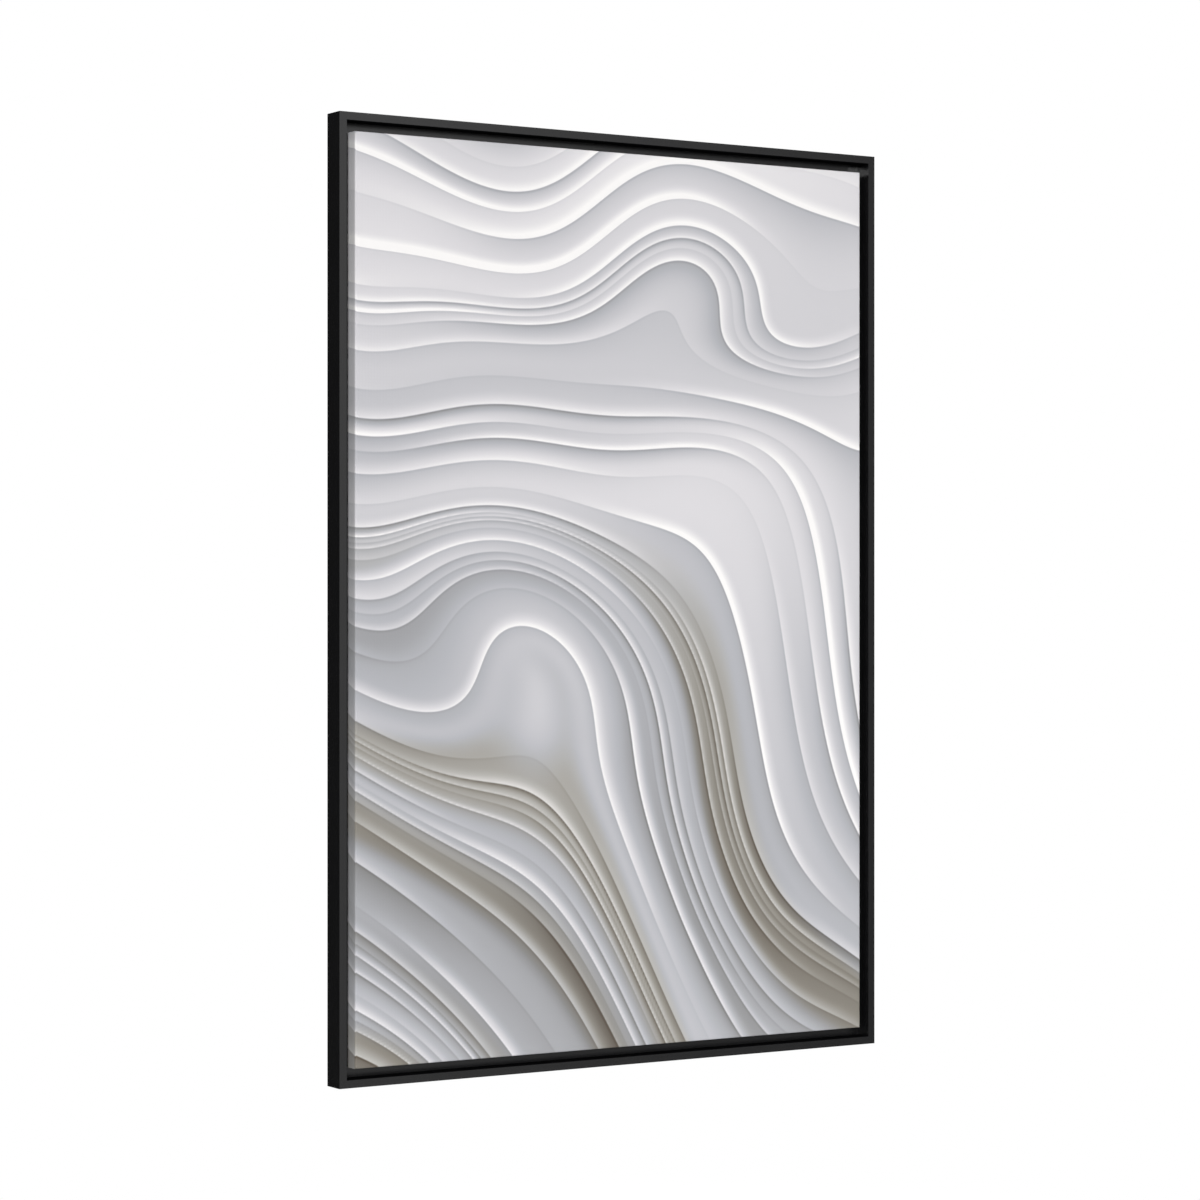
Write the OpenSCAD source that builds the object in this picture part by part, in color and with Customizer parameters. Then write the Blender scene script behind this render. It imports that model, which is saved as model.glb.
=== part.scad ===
// A stretched canvas held in a black floating frame, hung on a wall.
// It stands upright with the picture towards -Y, +X to the right and +Z up.
// The origin is the centre of the plane of the wall, where the rear bumpers touch it.
//
// Every piece is drawn lying face up on that plane and is stood up at the end:
// x runs to the right, y up the picture and z from the wall towards the viewer.
// The four sides are numbered 0 bottom, 1 right, 2 top and 3 left. A side's own x runs
// along it, anticlockwise round the picture, and its own y runs inwards from its outer edge.

/* [Canvas] */
// Width of the stretched canvas
canvas_w = 609.6; // [560:0.1:660]
// Height of the stretched canvas
canvas_h = 914.4; // [860:0.1:960]
// Thickness of the primed cloth
cloth_t = 0.6; // [0.4:0.1:0.8]
// Width of the hem folded over the back of the bars
hem_w = 34; // [28:0.5:36]

/* [Floating frame] */
// Width of the lip that shows from the front
lip_w = 8; // [6:0.5:12]
// Open gap between the lip and the canvas
reveal_w = 10; // [6:0.5:12]
// Depth of the frame from the front of the lip to its back
frame_depth = 25.4; // [25:0.1:27]
// Thickness of the ledge behind the canvas
ledge_t = 6.4; // [6:0.1:6.8]
// How far the ledge reaches in behind the canvas
ledge_reach = 14; // [12:0.5:16]
// How far the canvas sits back from the front of the lip
face_setback = 1.6; // [1:0.1:2]

/* [Stretcher bars] */
// Width of a bar
bar_w = 38; // [36:0.5:44]
// Depth of a bar under its outer bead
bar_depth = 15.6; // [15.2:0.1:16]
// Width of the outer bead that carries the canvas
bead_w = 6; // [4:0.5:8]
// Drop of the bar's front behind the bead
bead_drop = 1.2; // [0.8:0.1:1.5]
// Drop of the bar's front at its inner edge
edge_drop = 3; // [2:0.1:3.4]
// Thickness of each tongue and of each slot
tongue_t = 3.4; // [3:0.1:3.6]
// Depth of the cross brace
brace_depth = 11; // [9:0.5:11.5]
// Length of each tenon of the cross brace
tenon_len = 20; // [14:1:24]

/* [Corner keys] */
// Width of a key slot at the outer edge of its bar
slot_tip = 1.5; // [1:0.1:2]
// Width of a key slot at the inner edge of its bar
slot_mouth = 10; // [8:0.5:12]
// Distance of a key's tip from the outer edge of the bars
key_inset = 6; // [4:0.5:10]
// Length of a key that stands out of its slot
key_out = 16; // [12:0.5:20]

/* [Hangers] */
// Height of the hangers above the middle of the frame
hanger_z = 175; // [100:5:280]
// Width of a hanger strap
strap_w = 14; // [12:0.5:16]
// Thickness of the strap's sheet steel
strap_t = 0.9; // [0.8:0.05:1]
// Diameter of the ring's wire
ring_wire = 2.4; // [2:0.1:2.6]

/* [Fixings] */
// Height of a rubber bumper
bumper_h = 5; // [4.8:0.1:6]
// Diameter of a rubber bumper
bumper_d = 10; // [8:0.5:14]
// Largest distance between neighbouring staples
staple_pitch = 50; // [35:1:60]

/* [Hidden] */

$fn = 32;
cut = 1; // how far a cutting shape runs past the face it opens

frame_black = "#232323";
pine = "#d9b98a";
raw_cloth = "#e9e3d5";
zinc = "#b9bcc0";
blued = "#4a4f57";
rubber = "#2b2b2b";

BOTTOM = 0;
RIGHT = 1;
TOP = 2;
LEFT = 3;
SIDES = [BOTTOM, RIGHT, TOP, LEFT];

frame_w = canvas_w + 2 * (reveal_w + lip_w);
frame_h = canvas_h + 2 * (reveal_w + lip_w);
bars_w = canvas_w - 2 * cloth_t;
bars_h = canvas_h - 2 * cloth_t;
ledge_w = lip_w + reveal_w + ledge_reach;
bar_edge = lip_w + reveal_w + cloth_t; // from the frame's outer edge to a bar's

// Heights above the wall
z_back = bumper_h;
z_ledge = z_back + ledge_t;
z_face = z_back + frame_depth - face_setback;
z_bar = z_face - cloth_t - bar_depth;
z_hem = z_bar - cloth_t;

// Heights above the back of a bar
rear_layer_z = (bar_depth - edge_drop - 2 * tongue_t) * 0.65;
front_layer_z = rear_layer_z + tongue_t;
front_cheek_z = front_layer_z + tongue_t;

key_gap = 0.1; // clearance of a key in its slot

screw_edge = 25; // distance of the frame screws from the outer edge of the frame
screw_x_short = [-200, 200];
screw_x_long = [-300, 0, 300];
screw_shank_r = 1.75;
screw_head_r = 3.5;
screw_head_h = 2;
screw_clear_r = 2;
screw_pilot_r = 1.2;
frame_screw_len = 16;
hanger_screw_len = 6;
recess_w = 0.9;
recess_len = 4;
recess_depth = 1.2;

staple_edge = 22; // distance of a staple from the edge of the canvas
staple_end = 58; // distance of the first staple from a corner
staple_crown = 10;
staple_wire_w = 1.2;
staple_wire_t = 0.6;
staple_leg = 4.8;
corner_staple = 24; // distance of a corner staple from both edges

nail_steps = [10, 22]; // distances of the V-nails from the outer corner
nail_leg = 7;
nail_t = 0.6;
nail_depth = 5;

bumper_along = 50; // distance of a bumper from the corner
bumper_edge = 16; // distance of a bumper from the outer edge
bumper_round = 1;

ring_r = ring_wire / 2;
ring_gap = 0.05; // running clearance of the ring in its knuckle
knuckle_r = ring_r + ring_gap + strap_t;
knuckle_edge = ledge_w + 2.5; // distance of the ring's hinge line from the outer edge
knuckle_z = z_back - knuckle_r;
ring_arc_r = strap_w / 2 + 0.5 + ring_r;
ring_arm = 3;
strap_screw = 18; // distance of the strap's screw from the hinge line

// Length of a side of a w by h rectangle
function side_len(side, w, h) = side % 2 == 0 ? w : h;

// Positions of the frame screws along a side
function screw_xs(side) = side % 2 == 0 ? screw_x_short : screw_x_long;

// Opening of a key slot at a distance in from the outer edge of its bar
function slot_open(from_edge) = slot_tip + (slot_mouth - slot_tip) * from_edge / bar_w;

// Stands a piece up that was drawn lying on the wall
module upright() {
    rotate([90, 0, 0])
        children();
}

// Moves a shape drawn on a side's own axes to that side of a w by h rectangle
module on_side(side, w, h) {
    rotate(90 * side)
        translate([0, -side_len(side + 1, w, h) / 2, 0])
            children();
}

// Flat strip with mitred ends and its outer edge on y = 0
module mitred_strip(length, width) {
    polygon([[-length / 2, 0], [length / 2, 0], [length / 2 - width, width], [-length / 2 + width, width]]);
}

// Slab of a flat shape between two heights
module slab(z_low, z_high) {
    translate([0, 0, z_low])
        linear_extrude(z_high - z_low)
            children();
}

// Upright holes or pins at the frame screws of one side of the frame
module at_frame_screws(side) {
    for (x = screw_xs(side))
        translate([x, screw_edge, 0])
            children();
}

// ---- floating frame ----

module frame_rail(side) {
    length = side_len(side, frame_w, frame_h);
    color(frame_black)
        upright()
            on_side(side, frame_w, frame_h)
                difference() {
                    union() {
                        slab(z_back, z_back + frame_depth) mitred_strip(length, lip_w);
                        slab(z_back, z_ledge) mitred_strip(length, ledge_w);
                    }
                    at_frame_screws(side)
                        translate([0, 0, z_back - cut])
                            cylinder(r = screw_clear_r, h = ledge_t + 2 * cut);
                }
}

// One nail seen from behind: two short legs that meet on the mitre
module v_nail() {
    slab(z_back, z_back + nail_depth) {
        square([nail_leg, nail_t]);
        square([nail_t, nail_leg]);
    }
}

module frame_v_nails() {
    color(blued)
        upright()
            for (side = SIDES, step = nail_steps)
                on_side(side, frame_w, frame_h)
                    translate([-side_len(side, frame_w, frame_h) / 2 + step, step, 0])
                        v_nail();
}

// ---- stretcher ----

// Front of a bar: a bead that carries the canvas, then a slope that falls away from it
module bar_front(length) {
    intersection() {
        rotate([90, 0, 90])
            linear_extrude(length, center = true)
                polygon([[0, front_cheek_z], [bar_w, front_cheek_z], [bar_w, bar_depth - edge_drop],
                         [bead_w + bead_drop, bar_depth - bead_drop], [bead_w, bar_depth], [0, bar_depth]]);
        slab(0, bar_depth + cut) mitred_strip(length, bar_w);
    }
}

// Layer with its tongue at the +x end and its key slot at the other
module tongue_layer(length) {
    slot_end = -length / 2 + bar_w;
    polygon([[slot_end + slot_open(0), 0], [length / 2, 0], [length / 2, bar_w],
             [slot_end + slot_open(bar_w), bar_w]]);
}

module bar_solid(length) {
    slab(0, rear_layer_z) mitred_strip(length, bar_w);
    slab(rear_layer_z, front_layer_z) mirror([1, 0]) tongue_layer(length);
    slab(front_layer_z, front_cheek_z) tongue_layer(length);
    bar_front(length);
}

module stretcher_bar(side) {
    pilot_len = z_back + frame_screw_len - z_bar;
    color(pine)
        upright()
            on_side(side, bars_w, bars_h)
                translate([0, 0, z_bar])
                    difference() {
                        bar_solid(side_len(side, bars_w, bars_h));
                        if (side == LEFT || side == RIGHT)
                            translate([-bar_w / 2, bar_w - tenon_len, rear_layer_z])
                                cube([bar_w, tenon_len + cut, tongue_t]);
                        translate([0, -bar_edge, 0])
                            at_frame_screws(side)
                                translate([0, 0, -cut])
                                    cylinder(r = screw_pilot_r, h = pilot_len + cut);
                    }
}

module cross_brace() {
    clear_w = bars_w - 2 * bar_w;
    color(pine)
        upright()
            translate([0, 0, z_bar]) {
                translate([-clear_w / 2, -bar_w / 2, 0])
                    cube([clear_w, bar_w, brace_depth]);
                translate([-clear_w / 2 - tenon_len, -bar_w / 2, rear_layer_z])
                    cube([clear_w + 2 * tenon_len, bar_w, tongue_t]);
            }
}

// Wedge that lies along a side's bar at its +x end, with its tip in the next bar's slot
module key_wedge(length) {
    tip = length / 2 - key_inset;
    head = length / 2 - bar_w - key_out;
    polygon([[tip, bar_w + key_gap], [tip, bar_w + slot_open(key_inset) - key_gap],
             [head, bar_w + slot_open(bar_w + key_out) - key_gap], [head, bar_w + key_gap]]);
}

// Key in the front slot at the +x end of a side
module front_key(side) {
    color(pine)
        upright()
            on_side(side, bars_w, bars_h)
                slab(z_bar + front_layer_z + key_gap, z_bar + front_cheek_z - key_gap)
                    key_wedge(side_len(side, bars_w, bars_h));
}

// Key in the rear slot at the -x end of a side
module rear_key(side) {
    color(pine)
        upright()
            on_side(side, bars_w, bars_h)
                slab(z_bar + rear_layer_z + key_gap, z_bar + front_layer_z - key_gap)
                    mirror([1, 0])
                        key_wedge(side_len(side, bars_w, bars_h));
}

// ---- canvas ----

// Flap of the folded corner, which fills the space down to the ledge
module corner_flap(side) {
    slab(z_ledge, z_hem)
        translate([-side_len(side, canvas_w, canvas_h) / 2, 0])
            polygon([[0, 0], [hem_w + hem_w / 8, 0], [hem_w, hem_w], [0, hem_w + hem_w / 8]]);
}

module canvas() {
    color(raw_cloth)
        upright() {
            difference() {
                slab(z_hem, z_face) square([canvas_w, canvas_h], center = true);
                slab(z_bar, z_face - cloth_t) square([bars_w, bars_h], center = true);
                slab(z_hem - cut, z_bar + cut)
                    square([canvas_w - 2 * hem_w, canvas_h - 2 * hem_w], center = true);
                for (side = SIDES)
                    on_side(side, frame_w, frame_h)
                        at_frame_screws(side)
                            translate([0, 0, z_hem - cut])
                                cylinder(r = screw_clear_r, h = cloth_t + 2 * cut);
            }
            for (side = SIDES)
                on_side(side, canvas_w, canvas_h)
                    corner_flap(side);
        }
}

// One staple with its crown lying on the cloth at a height
module staple(z_cloth) {
    translate([-staple_crown / 2, -staple_wire_w / 2, z_cloth - staple_wire_t])
        cube([staple_crown, staple_wire_w, staple_wire_t]);
    for (end = [-1, 1])
        translate([end * (staple_crown - staple_wire_t) / 2, 0, z_cloth - staple_wire_t + staple_leg / 2])
            cube([staple_wire_t, staple_wire_w, staple_leg], center = true);
}

module canvas_staples() {
    color(zinc)
        upright()
            for (side = SIDES)
                on_side(side, canvas_w, canvas_h) {
                    length = side_len(side, canvas_w, canvas_h);
                    run = length - 2 * staple_end;
                    steps = ceil(run / staple_pitch);
                    for (i = [0 : steps])
                        translate([-run / 2 + run * i / steps, staple_edge, 0])
                            staple(z_hem);
                    translate([-length / 2 + corner_staple, corner_staple, 0])
                        rotate(-45)
                            staple(z_ledge);
                }
}

// ---- fixings ----

// Cross-head screw with the underside of its head on z = 0 and its shank along +z
module screw(shank_len) {
    difference() {
        rotate_extrude()
            polygon([[0, -screw_head_h], [screw_head_r * 0.7, -screw_head_h], [screw_head_r, -screw_head_h * 0.4],
                     [screw_head_r, 0], [screw_shank_r, 0], [screw_shank_r, shank_len - 2 * screw_shank_r],
                     [0, shank_len]]);
        for (turn = [0, 90])
            rotate(turn)
                translate([-recess_len / 2, -recess_w / 2, -screw_head_h - cut])
                    cube([recess_len, recess_w, recess_depth + cut]);
    }
}

module frame_screws() {
    color(zinc)
        upright()
            for (side = SIDES)
                on_side(side, frame_w, frame_h)
                    at_frame_screws(side)
                        translate([0, 0, z_back])
                            screw(frame_screw_len);
}

module wall_bumper(right, top) {
    x = (right ? 1 : -1) * (frame_w / 2 - bumper_edge);
    y = (top ? 1 : -1) * (frame_h / 2 - bumper_along);
    color(rubber)
        upright()
            translate([x, y, 0])
                rotate_extrude()
                    polygon([[0, 0], [bumper_d / 2 - bumper_round, 0], [bumper_d / 2, bumper_round],
                             [bumper_d / 2, bumper_h], [0, bumper_h]]);
}

// ---- hangers ----

// Moves a shape to a hanger's hinge line, with y pointing inwards across the back
module at_hanger(side) {
    on_side(side, frame_w, frame_h)
        translate([side == RIGHT ? hanger_z : -hanger_z, knuckle_edge, 0])
            children();
}

// Folded steel strap with a rolled knuckle for the ring
module hanger_strap(side) {
    color(zinc)
        upright()
            at_hanger(side)
                difference() {
                    union() {
                        slab(z_back - 2 * strap_t, z_back) {
                            translate([-strap_w / 2, -strap_screw])
                                square([strap_w, strap_screw]);
                            translate([0, -strap_screw])
                                circle(d = strap_w);
                        }
                        translate([0, 0, knuckle_z])
                            rotate([0, 90, 0])
                                cylinder(r = knuckle_r, h = strap_w, center = true);
                    }
                    translate([0, 0, knuckle_z])
                        rotate([0, 90, 0])
                            cylinder(r = ring_r + ring_gap, h = strap_w + 2 * cut, center = true);
                    translate([0, -strap_screw, z_back - 2 * strap_t - cut])
                        cylinder(r = screw_clear_r, h = 2 * (strap_t + cut));
                }
}

// Wire ring shaped like a D, with its straight side on the hinge line
module d_ring(side) {
    color(zinc)
        upright()
            at_hanger(side)
                translate([0, 0, knuckle_z]) {
                    rotate([0, 90, 0])
                        cylinder(r = ring_r, h = 2 * ring_arc_r, center = true);
                    for (end = [-1, 1])
                        translate([end * ring_arc_r, 0, 0]) {
                            sphere(r = ring_r);
                            rotate([-90, 0, 0])
                                cylinder(r = ring_r, h = ring_arm);
                        }
                    translate([0, ring_arm, 0])
                        rotate_extrude(angle = 180)
                            translate([ring_arc_r, 0])
                                circle(r = ring_r);
                }
}

module hanger_screws() {
    color(zinc)
        upright()
            for (side = [LEFT, RIGHT])
                at_hanger(side)
                    translate([0, -strap_screw, z_back - 2 * strap_t])
                        screw(hanger_screw_len + 2 * strap_t);
}

frame_rail(BOTTOM);  // frame_rail_bottom
frame_rail(RIGHT);  // frame_rail_right
frame_rail(TOP);  // frame_rail_top
frame_rail(LEFT);  // frame_rail_left
frame_v_nails();
stretcher_bar(BOTTOM);  // stretcher_bar_bottom
stretcher_bar(RIGHT);  // stretcher_bar_right
stretcher_bar(TOP);  // stretcher_bar_top
stretcher_bar(LEFT);  // stretcher_bar_left
cross_brace();
front_key(BOTTOM);  // key_bottom_bar_right
front_key(RIGHT);  // key_right_bar_top
front_key(TOP);  // key_top_bar_left
front_key(LEFT);  // key_left_bar_bottom
rear_key(RIGHT);  // key_right_bar_bottom
rear_key(TOP);  // key_top_bar_right
rear_key(LEFT);  // key_left_bar_top
rear_key(BOTTOM);  // key_bottom_bar_left
canvas();
canvas_staples();
frame_screws();
hanger_strap(LEFT);  // hanger_strap_left
hanger_strap(RIGHT);  // hanger_strap_right
d_ring(LEFT);  // d_ring_left
d_ring(RIGHT);  // d_ring_right
hanger_screws();
wall_bumper(right = false, top = false);  // wall_bumper_bottom_left
wall_bumper(right = true, top = false);  // wall_bumper_bottom_right
wall_bumper(right = true, top = true);  // wall_bumper_top_right
wall_bumper(right = false, top = true);  // wall_bumper_top_left
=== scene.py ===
import math

import bpy
import numpy as np
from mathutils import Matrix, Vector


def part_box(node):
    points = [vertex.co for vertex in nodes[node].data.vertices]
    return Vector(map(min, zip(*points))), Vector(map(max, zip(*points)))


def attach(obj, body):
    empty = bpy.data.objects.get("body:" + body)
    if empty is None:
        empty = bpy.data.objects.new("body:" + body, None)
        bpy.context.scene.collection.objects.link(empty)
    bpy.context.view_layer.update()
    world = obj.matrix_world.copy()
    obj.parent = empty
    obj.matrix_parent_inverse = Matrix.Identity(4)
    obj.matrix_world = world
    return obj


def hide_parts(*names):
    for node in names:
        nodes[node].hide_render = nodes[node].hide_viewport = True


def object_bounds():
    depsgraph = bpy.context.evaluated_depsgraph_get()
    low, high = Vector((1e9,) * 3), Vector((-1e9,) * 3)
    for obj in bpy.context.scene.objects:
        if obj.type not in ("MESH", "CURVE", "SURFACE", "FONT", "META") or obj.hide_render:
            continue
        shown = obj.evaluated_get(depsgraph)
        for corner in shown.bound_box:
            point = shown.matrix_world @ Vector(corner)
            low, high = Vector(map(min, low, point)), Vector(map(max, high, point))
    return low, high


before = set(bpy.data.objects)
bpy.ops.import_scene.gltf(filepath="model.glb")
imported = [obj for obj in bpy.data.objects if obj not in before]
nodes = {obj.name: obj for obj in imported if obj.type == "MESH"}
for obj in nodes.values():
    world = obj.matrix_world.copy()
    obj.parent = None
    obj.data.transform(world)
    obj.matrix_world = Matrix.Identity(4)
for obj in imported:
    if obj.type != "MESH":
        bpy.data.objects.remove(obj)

cad_low, cad_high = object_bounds()
BODY = "frame_and_canvas"
SIDES = ("bottom", "right", "top", "left")
MM = 0.001


# ---------------------------------------------------------------- camera

CAMERA_LEFT_OF_FRAME = 1.534
CAMERA_BEFORE_LIP = 2.928
CAMERA_YAW = math.radians(32.04)
LENS_MM = 101.8
SENSOR_MM = 36.0


def make_camera():
    """Camera at the left of the picture, level with its middle."""
    data = bpy.data.cameras.new("camera")
    data.lens = LENS_MM
    data.sensor_width = SENSOR_MM
    data.clip_end = 100
    camera = bpy.data.objects.new("camera", data)
    bpy.context.scene.collection.objects.link(camera)
    camera.location = (cad_low.x - CAMERA_LEFT_OF_FRAME, cad_low.y - CAMERA_BEFORE_LIP, 0)
    camera.rotation_euler = (math.radians(90), 0, -CAMERA_YAW)
    bpy.context.scene.camera = camera


# ---------------------------------------------------------------- shader helpers


class Nodes:
    """The node tree of a material or the world, with short calls for the nodes that it needs."""

    def __init__(self, owner):
        owner.use_nodes = True
        self.owner = owner
        self.tree = owner.node_tree

    def node(self, kind, **settings):
        made = self.tree.nodes.new(kind)
        for key, value in settings.items():
            setattr(made, key, value)
        return made

    def feed(self, socket, value):
        """Links a socket into another, or sets its plain value."""
        if isinstance(value, bpy.types.NodeSocket):
            self.tree.links.new(value, socket)
        else:
            socket.default_value = value

    def attribute(self, name, output):
        return self.node("ShaderNodeAttribute", attribute_name=name).outputs[output]

    def span(self, value, low, high):
        """0 at low, 1 at high and straight between them."""
        made = self.node("ShaderNodeMapRange")
        for key, given in (("Value", value), ("From Min", low), ("From Max", high)):
            self.feed(made.inputs[key], given)
        return made.outputs[0]

    def math(self, operation, a, b=0.0, c=0.0):
        made = self.node("ShaderNodeMath", operation=operation)
        for socket, value in zip(made.inputs, (a, b, c)):
            self.feed(socket, value)
        return made.outputs[0]

    def position(self, stretch=(1, 1, 1)):
        """Object coordinates, scaled along each axis."""
        coords = self.node("ShaderNodeTexCoord").outputs["Object"]
        mapping = self.node("ShaderNodeMapping")
        self.feed(mapping.inputs["Vector"], coords)
        mapping.inputs["Scale"].default_value = stretch
        return mapping.outputs[0]

    def texture(self, made, output, vector, **inputs):
        """Feeds a texture node its vector and inputs, and gives back one of its outputs."""
        self.feed(made.inputs["Vector"], vector)
        for key, value in inputs.items():
            self.feed(made.inputs[key.replace("_", " ")], value)
        return made.outputs[output]

    def noise(self, vector, scale, detail, roughness=0.5):
        made = self.node("ShaderNodeTexNoise")
        return self.texture(made, 0, vector, Scale=scale, Detail=detail, Roughness=roughness)

    def wave(self, vector, scale, distortion, direction, detail_scale, detail=2.0):
        made = self.node("ShaderNodeTexWave", bands_direction=direction)
        return self.texture(made, "Fac", vector, Scale=scale, Distortion=distortion,
                            Detail=detail, Detail_Scale=detail_scale)

    def ramp(self, fac, stops, interpolation="LINEAR"):
        """Colour ramp from (position, grey or colour) stops."""
        made = self.node("ShaderNodeValToRGB")
        made.color_ramp.interpolation = interpolation
        elements = made.color_ramp.elements
        while len(elements) < len(stops):
            elements.new(1.0)
        for element, (position, value) in zip(elements, stops):
            element.position = position
            element.color = (*value, 1) if hasattr(value, "__len__") else (value, value, value, 1)
        self.feed(made.inputs["Fac"], fac)
        return made.outputs["Color"]

    def mix(self, fac, a, b):
        made = self.node("ShaderNodeMix", data_type="RGBA", blend_type="MIX")
        self.feed(made.inputs["Factor"], fac)
        self.feed(made.inputs["A"], a)
        self.feed(made.inputs["B"], b)
        return made.outputs["Result"]

    def bump(self, height, strength, distance):
        made = self.node("ShaderNodeBump")
        self.feed(made.inputs["Height"], height)
        made.inputs["Strength"].default_value = strength
        made.inputs["Distance"].default_value = distance
        return made.outputs["Normal"]

    def finish(self, **inputs):
        """Sets the shader's inputs and gives back the material."""
        shader = self.tree.nodes["Principled BSDF"]
        for key, value in inputs.items():
            self.feed(shader.inputs[key.replace("_", " ")], value)
        return self.owner


def material(name):
    return Nodes(bpy.data.materials.new(name))


def srgb(r, g, b):
    """Linear colour from 8-bit sRGB levels."""
    levels = [v / 255 for v in (r, g, b)]
    return [v / 12.92 if v <= 0.04045 else ((v + 0.055) / 1.055) ** 2.4 for v in levels]


def paint(obj, *materials):
    """Gives an object its materials, in slot order."""
    obj.data.materials.clear()
    for material in materials:
        obj.data.materials.append(material)


def along(axis, fine, coarse):
    """Scales that stretch a texture along one axis."""
    return tuple(coarse if name == axis else fine for name in "xyz")


# ---------------------------------------------------------------- materials of the hard parts

# The lip's inner wall starts this far in from the outside and ends just before the ledge
LIP_WIDTH = 8 * MM
WALL_DEPTH = 18.8 * MM
WALL_REACH = 0.3 * MM


def black_paint(axis):
    """Satin black paint that lets a little of the wood's grain through. On the rails along X it is
    dead matt on the lip's inner wall, deep in the channel."""
    s = material("black_paint_" + axis)
    grain = s.noise(s.position(along(axis, 1, 0.04)), 900, detail=5, roughness=0.6)
    mottle = s.noise(s.position(), 35, detail=3)
    colour = s.ramp(mottle, [(0.3, srgb(15, 15, 16)), (0.75, srgb(19, 19, 20))])
    rough = s.ramp(grain, [(0.25, 0.2), (0.8, 0.27)])
    normal = s.bump(grain, 0.12, 0.05 * MM)
    gloss = 0.5
    if axis == "x":
        parts = s.node("ShaderNodeSeparateXYZ")
        s.feed(parts.inputs[0], s.position())
        height = s.math("ABSOLUTE", parts.outputs["Z"])
        level = s.math("COMPARE", height, cad_high.z - LIP_WIDTH, WALL_REACH)
        before = s.math("LESS_THAN", parts.outputs["Y"], cad_low.y + WALL_DEPTH)
        wall = s.math("MULTIPLY", level, before)
        gloss = s.math("MULTIPLY_ADD", wall, -0.5, 0.5)
    return s.finish(Base_Color=colour, Roughness=rough, Normal=normal, IOR=1.5,
                    Specular_IOR_Level=gloss)


def pine(axis):
    """Planed pine with growth rings, fine fibres and a few darker streaks along its length."""
    s = material("pine_" + axis)
    stretched = s.position(along(axis, 1, 0.06))
    rings = s.wave(stretched, 62, distortion=6.5, detail=3, direction="DIAGONAL", detail_scale=0.7)
    fibres = s.noise(s.position(along(axis, 1, 0.03)), 1400, detail=4, roughness=0.65)
    streaks = s.noise(s.position(along(axis, 1, 0.05)), 60, detail=3)
    light = s.ramp(rings, [(0.0, srgb(222, 188, 140)), (0.7, srgb(212, 172, 121)),
                           (0.96, srgb(184, 138, 88))])
    dusky = s.mix(s.ramp(streaks, [(0.5, 0.0), (0.75, 0.35)]), light, (*srgb(178, 138, 95), 1))
    colour = s.mix(s.ramp(fibres, [(0.4, 0.0), (0.75, 0.3)]), dusky, (*srgb(236, 210, 168), 1))
    rough = s.ramp(fibres, [(0.2, 0.62), (0.8, 0.78)])
    normal = s.bump(fibres, 0.35, 0.1 * MM)
    return s.finish(Base_Color=colour, Roughness=rough, Normal=normal)


def plated_steel(name, colour, roughness, scratch=0.3):
    """Plated steel with faint scratches and a cloudy bloom."""
    s = material(name)
    bloom = s.noise(s.position(), 260, detail=4)
    scratches = s.noise(s.position((1, 1, 0.05)), 2600, detail=2)
    dull = [c * 0.78 for c in colour]
    base = s.ramp(bloom, [(0.35, dull), (0.7, colour)])
    rough = s.ramp(scratches, [(0.3, roughness), (0.75, roughness + scratch * 0.4)])
    normal = s.bump(scratches, scratch, 0.02 * MM)
    return s.finish(Base_Color=base, Metallic=1.0, Roughness=rough, Normal=normal)


def rubber():
    """Moulded black rubber, matte and slightly dusty."""
    s = material("rubber")
    dust = s.noise(s.position(), 700, detail=5)
    colour = s.ramp(dust, [(0.4, srgb(30, 30, 30)), (0.8, srgb(58, 57, 55))])
    normal = s.bump(s.noise(s.position(), 3500, detail=2), 0.3, 0.05 * MM)
    return s.finish(Base_Color=colour, Roughness=0.78, Normal=normal)


def soften_edges(obj, width, segments=2):
    """Rounds the sharp edges of a CAD node with a modifier, and leaves its mesh alone."""
    bevel = obj.modifiers.new("soft_edges", "BEVEL")
    bevel.width = width
    bevel.segments = segments
    bevel.limit_method = "ANGLE"
    bevel.angle_limit = math.radians(35)
    bevel.harden_normals = True
    for face in obj.data.polygons:
        face.use_smooth = True


def dress_hard_parts():
    """Gives every CAD node that stays its material, and most of them softened edges."""
    paints = {axis: black_paint(axis) for axis in "xz"}
    pines = {axis: pine(axis) for axis in "xz"}
    zinc = plated_steel("zinc", srgb(190, 193, 198), 0.34)
    nickel = plated_steel("nickel", srgb(205, 202, 196), 0.16, scratch=0.15)
    blued = plated_steel("blued_steel", srgb(82, 86, 96), 0.38)
    black_rubber = rubber()
    for side in SIDES:
        axis = "x" if side in ("bottom", "top") else "z"
        paint(nodes["frame_rail_" + side], paints[axis])
        soften_edges(nodes["frame_rail_" + side], 0.45 * MM)
        paint(nodes["stretcher_bar_" + side], pines[axis])
        soften_edges(nodes["stretcher_bar_" + side], 0.5 * MM)
    paint(nodes["cross_brace"], pines["x"])
    soften_edges(nodes["cross_brace"], 0.6 * MM)
    for name in nodes:
        if name.startswith("key_"):
            lies_flat = name.startswith(("key_bottom_bar", "key_top_bar"))
            paint(nodes[name], pines["x" if lies_flat else "z"])
            soften_edges(nodes[name], 0.25 * MM)
        if name.startswith("wall_bumper"):
            paint(nodes[name], black_rubber)
            soften_edges(nodes[name], 0.3 * MM)
        if name.startswith("hanger_strap"):
            paint(nodes[name], zinc)
            soften_edges(nodes[name], 0.15 * MM)
        if name.startswith("d_ring"):
            paint(nodes[name], nickel)
    for name in ("canvas_staples", "frame_screws", "hanger_screws"):
        paint(nodes[name], zinc)
    paint(nodes["frame_v_nails"], blued)


# ---------------------------------------------------------------- the print

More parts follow.
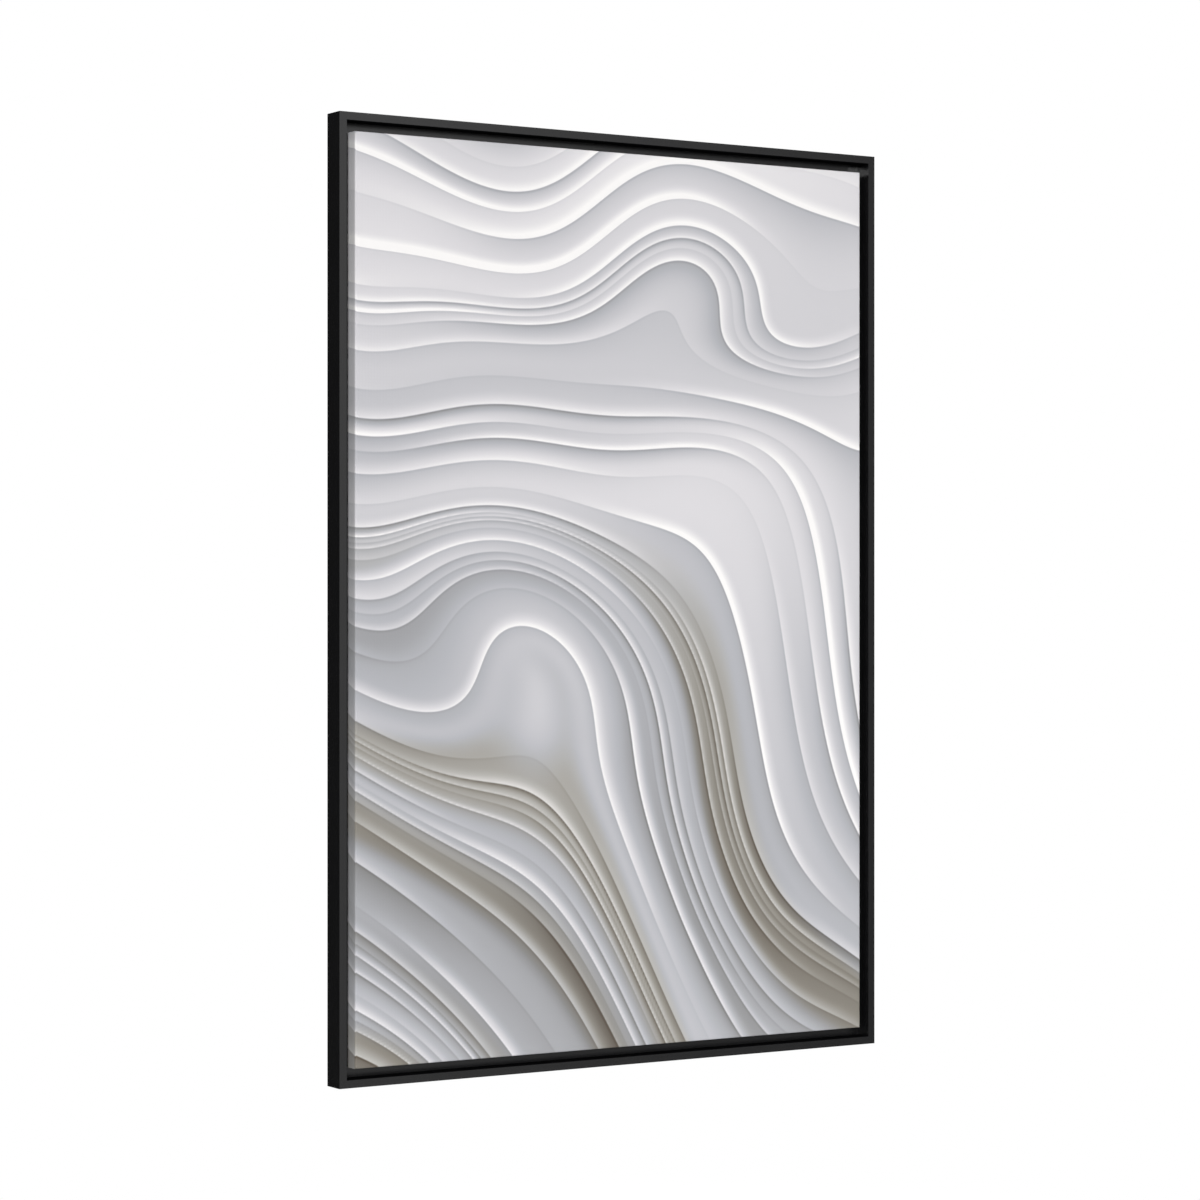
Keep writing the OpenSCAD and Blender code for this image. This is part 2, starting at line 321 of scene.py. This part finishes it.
# The print is a generic pattern of folds that flow across the picture. The folds are level
# lines of a smooth field, which is made of a few waves and two mounds. Places are in millimetres
# right and down from the picture's top left corner. A fold has a bright lip above its line, and
# below it a dark line and a shadow. Both are as wide as the room to the next fold allows. The
# folds are dealt out over a few layers, so that each point takes the nearest fold of each layer.

PICTURE_W = 609.6
PICTURE_H = 914.4
LAYERS = 6
LIP_GAIN = 0.45
LIP_POWER = 1.7
SHADE_GAIN = 0.34
SHADE_POWER = 1.6
NUDGE = 0.5
FIRST_LEVEL = -760.0
LAST_LEVEL = 1600.0
LEAST_ROOM = 9
ROOM_SWELL = 58
END_ROOM = 20
WIDEST_LIP = 15
LEAST_SLOPE = 0.2
FAR = 40
PALE_TONE = 0.868
VALLEY_DEPTH = 0.23


def ease(values):
    """0 up to 0, 1 from 1 on and smooth between them."""
    t = np.clip(values, 0, 1)
    return t * t * (3 - 2 * t)


def mound(x, y, centre, size, turn):
    """Smooth oval bump of height 1."""
    right, down = x - centre[0], y - centre[1]
    major = right * math.cos(turn) + down * math.sin(turn)
    minor = down * math.cos(turn) - right * math.sin(turn)
    return np.exp(-(major / size[0]) ** 2 - (minor / size[1]) ** 2)


def field(points):
    """The smooth field whose level lines are the folds: level at the top, leaning lower down."""
    x, y = points[:, 0], points[:, 1]
    lean = 1.15 * (x - 250) * ease((y - 200) / 600)
    waves = 44 * np.sin(x / 96 + y / 310 + 3.2) + 15 * np.sin(x / 47 - y / 150 + 0.6)
    bulge = 132 * mound(x, y, (190, 480), (185, 92), 0.55)
    hollow = -95 * mound(x, y, (430, 215), (150, 80), -0.25)
    return y - lean + waves + bulge + hollow


def steepness(points):
    """Slope of the field: 1 where it rises by a millimetre for each millimetre of picture."""
    right, down = np.array([NUDGE, 0]), np.array([0, NUDGE])
    slopes = [(field(points + step) - field(points - step)) / (2 * NUDGE) for step in (right, down)]
    return np.hypot(*slopes)


def fold_levels():
    """Levels of the folds, which bunch up and spread out in turn."""
    levels = [FIRST_LEVEL]
    while levels[-1] < LAST_LEVEL:
        number = len(levels)
        swell = 0.5 + 0.5 * math.sin(0.83 * number) * math.sin(0.31 * number + 1)
        levels.append(levels[-1] + LEAST_ROOM + ROOM_SWELL * swell ** 2)
    return np.array(levels)


def vary(number, rate, low, high):
    """A value for each fold number that wanders between low and high."""
    return low + (high - low) * ((number * rate) % 1.0)


def fold_layers(points):
    """For each layer of folds, each point's signed distance from the nearest fold, lip and shade."""
    height = field(points)
    slope = np.maximum(steepness(points), LEAST_SLOPE)
    levels = fold_levels()
    room = np.diff(levels, prepend=levels[0] - END_ROOM, append=levels[-1] + END_ROOM)
    x, y = points[:, 0], points[:, 1]
    layers = []
    for first in range(LAYERS):
        own = levels[first::LAYERS]
        number = first + LAYERS * np.searchsorted((own[1:] + own[:-1]) / 2, height)
        off = height - levels[number]
        swing = np.sin(x / vary(number, 0.37, 90, 190) + y / 160 + 2.4 * number)
        strength = ease(0.66 + 0.6 * swing)
        lip_room = np.minimum(room[number] * vary(number, 0.27, 0.45, 0.95), WIDEST_LIP * slope)
        lip_fall = np.clip(1 - np.abs(off) / lip_room, 0, 1) ** LIP_POWER
        shade_room = room[number + 1] * vary(number, 0.53, 0.6, 1.25)
        shade_fall = np.clip(1 - np.abs(off) / shade_room, 0, 1) ** SHADE_POWER
        lip = LIP_GAIN * strength * ease(1.4 * slope) * vary(number, 0.618, 0.35, 1.0)
        shade = SHADE_GAIN * (0.25 + 0.75 * strength) * vary(number, 0.414, 0.25, 1.0)
        layers.append(np.stack([np.clip(off / slope, -FAR, FAR), lip * lip_fall,
                                shade * shade_fall], axis=1))
    return layers


def valleys(points):
    """Where the sheet dips between folds: 0 on the crests and 1 in the deepest valleys."""
    x, y = points[:, 0], points[:, 1]
    height = field(points)
    bands = 0.35 + np.sin(height / 34 + 1.3 * np.sin(x / 210 + 0.5)) * np.sin(height / 79 + 2)
    return ease(bands) * ease((y - 230) / 330) * ease(1.1 * steepness(points))


def base_tone(points):
    """Tone of the sheet before its folds: pale at the top, greyer towards the bottom left."""
    x, y = points[:, 0], points[:, 1]
    down = np.clip(y / PICTURE_H, 0, 1)
    greyer = 0.13 * down + 0.05 * ease(down * 2.5 - 0.6) + 0.1 * ease(down * 1.6 - 0.6)
    greyer += 0.05 * (1 - x / PICTURE_W)
    soft = 0.075 * np.sin(field(points) / 57 + x / 240)
    return PALE_TONE - greyer + soft - VALLEY_DEPTH * valleys(points)


def warmth(points):
    """Where the greys turn from cool to warm."""
    return np.clip(1.6 * valleys(points) - 0.6, 0, 1)


# The print's colours from its darkest to its palest tone, with cool and with warm shadows
TONES = [
    (0.0, (90, 85, 80), (85, 76, 66)),
    (0.3, (130, 130, 130), (132, 128, 120)),
    (0.6, (172, 173, 178), (174, 172, 168)),
    (0.85, (212, 210, 213), (215, 212, 210)),
    (1.0, (240, 238, 237), (240, 238, 236)),
]
# A fold's dark line by millimetres below the fold, and where its lip gives way to its shadow
LINE_REACH = 8.0
LINE_STOPS = ((-1.0, 0), (0.2, 1), (1.2, 1), (3.0, 0))
LINE_DEPTH = 0.35
LIP_END, SHADE_START = -0.5, 0.6
CLOTH_WHITE = (236, 235, 231)
# The sides stand in the shade of the gap, so their print gets painted light that makes it a little
# paler
SIDE_RUN = 17 * MM
SIDE_PAINTED_LIGHT = 0.21


def print_material(layers):
    """Matte print: tones from the folds, turned into cool or warm greys, with painted light that makes
    the wrapped sides paler, over a fine weave.
    """
    s = material("canvas_print")
    tone = s.attribute("tone", "Fac")
    for number in range(layers):
        parts = s.node("ShaderNodeSeparateXYZ")
        s.feed(parts.inputs[0], s.attribute(f"folds_{number}", "Vector"))
        distance, lip, shade = parts.outputs
        side = s.span(distance, LIP_END, SHADE_START)
        stops = [(0.5 + mm / LINE_REACH, value) for mm, value in LINE_STOPS]
        line = s.ramp(s.math("MULTIPLY_ADD", distance, 1 / LINE_REACH, 0.5), stops)
        darker = s.math("MULTIPLY", shade, s.math("MULTIPLY_ADD", line, LINE_DEPTH, side))
        lighter = s.math("MULTIPLY", lip, s.math("SUBTRACT", 1, side))
        tone = s.math("ADD", tone, s.math("SUBTRACT", lighter, darker))
    cool = s.ramp(tone, [(at, srgb(*colour)) for at, colour, _ in TONES])
    warm = s.ramp(tone, [(at, srgb(*colour)) for at, _, colour in TONES])
    picture = s.mix(s.attribute("warmth", "Fac"), cool, warm)
    inked = s.attribute("inked", "Fac")
    # Painted light: the print on the wrapped sides is mixed towards white, to make up for the gap's
    # shade
    painted_side_light = s.span(inked, (BLEED + SIDE_RUN) / MM, (BLEED + SIDE_RUN) / MM - 1.5)
    picture = s.mix(s.math("MULTIPLY", painted_side_light, SIDE_PAINTED_LIGHT), picture, (1, 1, 1, 1))
    colour = s.mix(s.math("GREATER_THAN", inked, 0), (*srgb(*CLOTH_WHITE), 1), picture)
    rough = s.ramp(s.noise(s.position(), 500, detail=3), [(0.3, 0.62), (0.7, 0.72)])
    return s.finish(Base_Color=colour, Roughness=rough, Normal=s.bump(weave(s), 0.25, 0.08 * MM),
                    Specular_IOR_Level=0.3)


WEAVE_SCALE = 95


def weave(s):
    """Height of a plain weave of about 300 ribs a metre, which vary a little in thickness."""
    wander = s.noise(s.position(), 90, detail=3)
    warp = s.wave(s.position(), WEAVE_SCALE, distortion=0.6, direction="X", detail_scale=4)
    weft = s.wave(s.position(), WEAVE_SCALE, distortion=0.6, direction="Z", detail_scale=4)
    crossing = s.math("MAXIMUM", warp, weft)
    return s.math("MULTIPLY_ADD", wander, 0.4, crossing)


def raw_cloth():
    """Unprimed back of the canvas: cream cotton with slubs and darker flecks."""
    s = material("raw_cloth")
    threads = weave(s)
    slubs_x = s.noise(s.position((0.03, 1, 1)), 900, detail=3)
    slubs_z = s.noise(s.position((1, 1, 0.03)), 900, detail=3)
    slubs = s.math("MULTIPLY", s.math("ADD", slubs_x, slubs_z), 0.5)
    flecks = s.noise(s.position(), 1300, detail=2)
    cloth = s.ramp(slubs, [(0.35, srgb(203, 192, 168)), (0.5, srgb(224, 215, 194)),
                           (0.66, srgb(238, 231, 214))])
    colour = s.mix(s.ramp(flecks, [(0.68, 0.0), (0.76, 0.4)]), cloth, (*srgb(150, 128, 96), 1))
    height = s.math("MULTIPLY_ADD", slubs, 0.8, threads)
    normal = s.bump(height, 0.5, 0.18 * MM)
    return s.finish(Base_Color=colour, Roughness=0.92, Normal=normal, Sheen_Weight=0.15)


# ---------------------------------------------------------------- the canvas

CLOTH = 0.6 * MM
EDGE_ROUND = 1.4 * MM
HEM = 34 * MM
GRID = 2.6 * MM
BLEED = 9 * MM
CORNER_FLAP = 0.6 * MM
PRINTED, RAW = 0, 1


class Wrap:
    """Path of the cloth across one direction: over the front, round the edge, along the side,
    round the back edge and in along the hem. A point is given by its distance from the middle."""

    def __init__(self, half, depth):
        self.half, self.depth = half, depth
        self.flat = half - EDGE_ROUND
        self.arc = EDGE_ROUND * math.pi / 2
        self.side = depth - 2 * EDGE_ROUND
        self.hem_start = self.flat + 2 * self.arc + self.side
        self.end = self.hem_start + HEM - EDGE_ROUND

    def at(self, run, inset):
        """Position out from the middle and depth behind the front face. The surface is moved
        inwards by inset."""
        r = EDGE_ROUND - inset
        if run <= self.flat:
            return run, inset
        run -= self.flat
        if run <= self.arc:
            turn = run / EDGE_ROUND
            return self.flat + r * math.sin(turn), EDGE_ROUND - r * math.cos(turn)
        run -= self.arc
        if run <= self.side:
            return self.half - inset, EDGE_ROUND + run
        run -= self.side
        if run <= self.arc:
            turn = run / EDGE_ROUND
            return self.flat + r * math.cos(turn), self.depth - EDGE_ROUND + r * math.sin(turn)
        run -= self.arc
        return self.flat - run, self.depth - inset

    def runs(self):
        """Distances at which the cloth beyond the flat front gets its rows of points."""
        steps = [self.flat + self.arc * k / 4 for k in range(1, 5)]
        steps += [self.flat + self.arc + self.side * k / 5 for k in range(1, 6)]
        steps += [self.flat + self.arc + self.side + self.arc * k / 4 for k in range(1, 5)]
        steps += [self.hem_start + (HEM - EDGE_ROUND) * share for share in (0.1, 0.2, 0.4, 0.7, 1.0)]
        return steps


def even(length, step):
    """Evenly spaced places from minus half the length to plus half."""
    count = max(1, round(length / step))
    return [-length / 2 + length * k / count for k in range(count + 1)]


class CanvasMesh:
    """The stretched cloth as one closed skin of its real thickness, from the CAD solid's box:
    its points, each with its place in the picture, and its faces."""

    def __init__(self):
        low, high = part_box("canvas")
        depth = high.y - low.y - CORNER_FLAP
        self.front = low.y
        self.wrap_x = Wrap((high.x - low.x) / 2, depth)
        self.wrap_z = Wrap((high.z - low.z) / 2, depth)
        self.xs = even(2 * self.wrap_x.flat, GRID)
        self.zs = even(2 * self.wrap_z.flat, GRID)
        self.points, self.picture, self.faces, self.kinds = [], [], [], []
        self.close(self.skin(0.0, PRINTED), self.skin(CLOTH, RAW))

    def add(self, x, z, back, picture):
        self.points.append((x, self.front + back, z))
        self.picture.append(picture)
        return len(self.points) - 1

    def face(self, corners, kind):
        self.faces.append(corners)
        self.kinds.append(kind)

    def quads(self, row, above, kind, flip=False):
        """Faces between two rows of points."""
        for a, b, c, d in zip(row, row[1:], above[1:], above):
            self.face((a, d, c, b) if flip else (a, b, c, d), kind)

    def printed_front(self):
        """The front as a grid. Gives back its four rims."""
        rows = [[self.add(x, z, 0.0, (x, z)) for x in self.xs] for z in self.zs]
        for row, above in zip(rows, rows[1:]):
            self.quads(row, above, PRINTED)
        return {"bottom": rows[0], "right": [row[-1] for row in rows],
                "top": rows[-1], "left": [row[0] for row in rows]}

    def raw_front(self, inset):
        """The unprinted side of the front as one flat face. Gives back its four rims."""
        xs, zs = self.xs, self.zs
        ring = ([(x, zs[0]) for x in xs] + [(xs[-1], z) for z in zs[1:]]
                + [(x, zs[-1]) for x in xs[-2::-1]] + [(xs[0], z) for z in zs[-2:0:-1]])
        ids = [self.add(x, z, inset, (x, z)) for x, z in ring]
        self.face(tuple(reversed(ids)), RAW)
        to_right, to_top = len(xs) - 1, len(xs) + len(zs) - 2
        to_left = to_top + len(xs) - 1
        return {"bottom": ids[:to_right + 1], "right": ids[to_right:to_top + 1],
                "top": ids[to_top:to_left + 1][::-1], "left": (ids[to_left:] + ids[:1])[::-1]}

    def strip(self, side, rim, inset, kind):
        """The cloth folded round one side and along the hem. Gives back its rows, rim first."""
        upright = side in ("left", "right")
        wrap, across = (self.wrap_x, self.wrap_z) if upright else (self.wrap_z, self.wrap_x)
        sign = -1 if side in ("bottom", "left") else 1
        flip = (side in ("right", "bottom")) != (kind == RAW)
        rows = [rim]
        for run in wrap.runs():
            out, back = wrap.at(run, inset)
            half, _ = across.at(across.flat + run - wrap.flat, inset)
            row = []
            for p in self.zs if upright else self.xs:
                q = p / across.flat * half
                x, z = (sign * out, q) if upright else (q, sign * out)
                picture = (sign * run, p) if upright else (p, sign * run)
                row.append(self.add(x, z, back, picture))
            self.quads(rows[-1], row, kind, flip)
            rows.append(row)
        return rows

    def skin(self, inset, kind):
        """One face of the cloth: its front and the folded strips on the four sides."""
        rims = self.printed_front() if kind == PRINTED else self.raw_front(inset)
        return {side: self.strip(side, rims[side], inset, kind) for side in SIDES}

    def close(self, outer, inner):
        """Joins the two faces of the cloth along the cut hem and the mitred corners."""
        for side in SIDES:
            flip = side in ("right", "bottom")
            self.quads(outer[side][-1], inner[side][-1], RAW, flip)
            for end in (0, -1):
                outer_ends = [row[end] for row in outer[side]]
                inner_ends = [row[end] for row in inner[side]]
                self.quads(outer_ends, inner_ends, RAW, flip=(end == 0) != flip)


def store(data, name, values, kind="FLOAT"):
    """Keeps one value for each point under a name that the materials read."""
    attribute = data.attributes.new(name, kind, "POINT")
    part = "vector" if kind == "FLOAT_VECTOR" else "value"
    attribute.data.foreach_set(part, values.astype(np.float32).ravel())


def make_canvas():
    """The printed canvas, which takes the place of the CAD node and is taut on its bars."""
    mesh = CanvasMesh()
    data = bpy.data.meshes.new("printed_canvas")
    data.from_pydata(mesh.points, [], mesh.faces)
    place = np.array(mesh.picture) / MM
    picture = np.stack([place[:, 0] + PICTURE_W / 2, PICTURE_H / 2 - place[:, 1]], axis=1)
    layers = fold_layers(picture)
    for number, values in enumerate(layers):
        store(data, f"folds_{number}", values, "FLOAT_VECTOR")
    store(data, "tone", base_tone(picture))
    store(data, "warmth", warmth(picture))
    into_hem = np.maximum(np.abs(place[:, 0]) - mesh.wrap_x.hem_start / MM,
                          np.abs(place[:, 1]) - mesh.wrap_z.hem_start / MM)
    store(data, "inked", BLEED / MM - into_hem)
    canvas = bpy.data.objects.new("printed_canvas", data)
    bpy.context.scene.collection.objects.link(canvas)
    paint(canvas, print_material(len(layers)), raw_cloth())
    data.polygons.foreach_set("material_index", np.array(mesh.kinds, np.int32))
    data.polygons.foreach_set("use_smooth", np.array([len(face) == 4 for face in mesh.faces]))
    data.update()
    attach(canvas, BODY)
    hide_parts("canvas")


# ---------------------------------------------------------------- surroundings

FLOOR_BELOW = 0.5
FLOOR_RADIUS = 2.3
FLOOR_FADE = [(0.3, 1.0), (0.98, 0.0)]


def make_floor():
    """Pale disc below the picture that fades out at its rim."""
    bpy.ops.mesh.primitive_circle_add(vertices=96, radius=FLOOR_RADIUS, fill_type="NGON",
                                      location=(0, 0, cad_low.z - FLOOR_BELOW))
    floor = bpy.context.object
    floor.name = "floor"
    s = material("floor")
    length = s.node("ShaderNodeVectorMath", operation="LENGTH")
    s.feed(length.inputs[0], s.position())
    share = s.math("DIVIDE", length.outputs["Value"], FLOOR_RADIUS)
    alpha = s.ramp(share, FLOOR_FADE, "EASE")
    s.finish(Base_Color=(0.8, 0.8, 0.8, 1), Roughness=0.8, Alpha=alpha)
    paint(floor, s.owner)


STRIP_PEAK = 2.5
AMBIENT = 0.1
BACK_AMBIENT = 0.03


def make_world():
    """Dim studio round the object with a tall soft strip of light at the front right, which the
    satin paint reflects, behind a plain white background."""
    world = bpy.data.worlds.new("studio")
    bpy.context.scene.world = world
    w = Nodes(world)
    w.tree.nodes.clear()
    parts = w.node("ShaderNodeSeparateXYZ")
    w.feed(parts.inputs[0], w.node("ShaderNodeTexCoord").outputs["Generated"])
    x, y, z = parts.outputs
    across = w.math("MULTIPLY", w.span(x, 0.02, 0.3), w.span(x, 0.63, 0.38))
    upward = w.math("MULTIPLY", w.span(z, -0.4, 0.35), w.span(z, 0.95, 0.5))
    strip = w.math("MULTIPLY", across, upward)
    front = w.math("MULTIPLY", w.span(y, 0.1, -0.4), w.math("MULTIPLY_ADD", strip, STRIP_PEAK, AMBIENT))
    above = w.math("MULTIPLY_ADD", w.span(z, 0.2, 1.0), 0.5, BACK_AMBIENT)
    lit = w.node("ShaderNodeBackground")
    w.feed(lit.inputs["Color"], (1, 1, 1, 1))
    w.feed(lit.inputs["Strength"], w.math("MAXIMUM", front, above))
    seen = w.node("ShaderNodeBackground")
    w.feed(seen.inputs["Color"], (1, 1, 1, 1))
    both = w.node("ShaderNodeMixShader")
    w.feed(both.inputs[0], w.node("ShaderNodeLightPath").outputs["Is Camera Ray"])
    w.feed(both.inputs[1], lit.outputs[0])
    w.feed(both.inputs[2], seen.outputs[0])
    w.feed(w.node("ShaderNodeOutputWorld").inputs[0], both.outputs[0])


def add_lamp(name, kind, place, **settings):
    """Adds a lamp that shines on the middle of the object, unseen by the camera."""
    data = bpy.data.lights.new(name, kind)
    for key, value in settings.items():
        setattr(data, key, value)
    lamp = bpy.data.objects.new(name, data)
    lamp.location = place
    lamp.rotation_euler = (-lamp.location).to_track_quat("-Z", "Y").to_euler()
    lamp.visible_camera = False
    bpy.context.scene.collection.objects.link(lamp)


def make_lamps():
    """Key light from the front left, and softboxes for the views of the sides and the back."""
    add_lamp("key", "SUN", (-1.55, -2.58, 0.5), energy=2.26, angle=math.radians(12))
    add_lamp("fill", "SUN", (-0.9, -2.8, -0.2), energy=0.3, angle=math.radians(12))
    add_lamp("back_right", "AREA", (1.8, 2.4, 1.4), size=1.6, energy=70)
    add_lamp("back_top", "AREA", (-0.4, 2.0, 3.0), size=1.6, energy=45)
    add_lamp("side_right", "AREA", (3.0, 0.9, 0.7), size=1.8, energy=60)


bpy.context.scene.view_settings.view_transform = "Standard"
make_camera()
make_world()
make_floor()
make_lamps()
dress_hard_parts()
make_canvas()
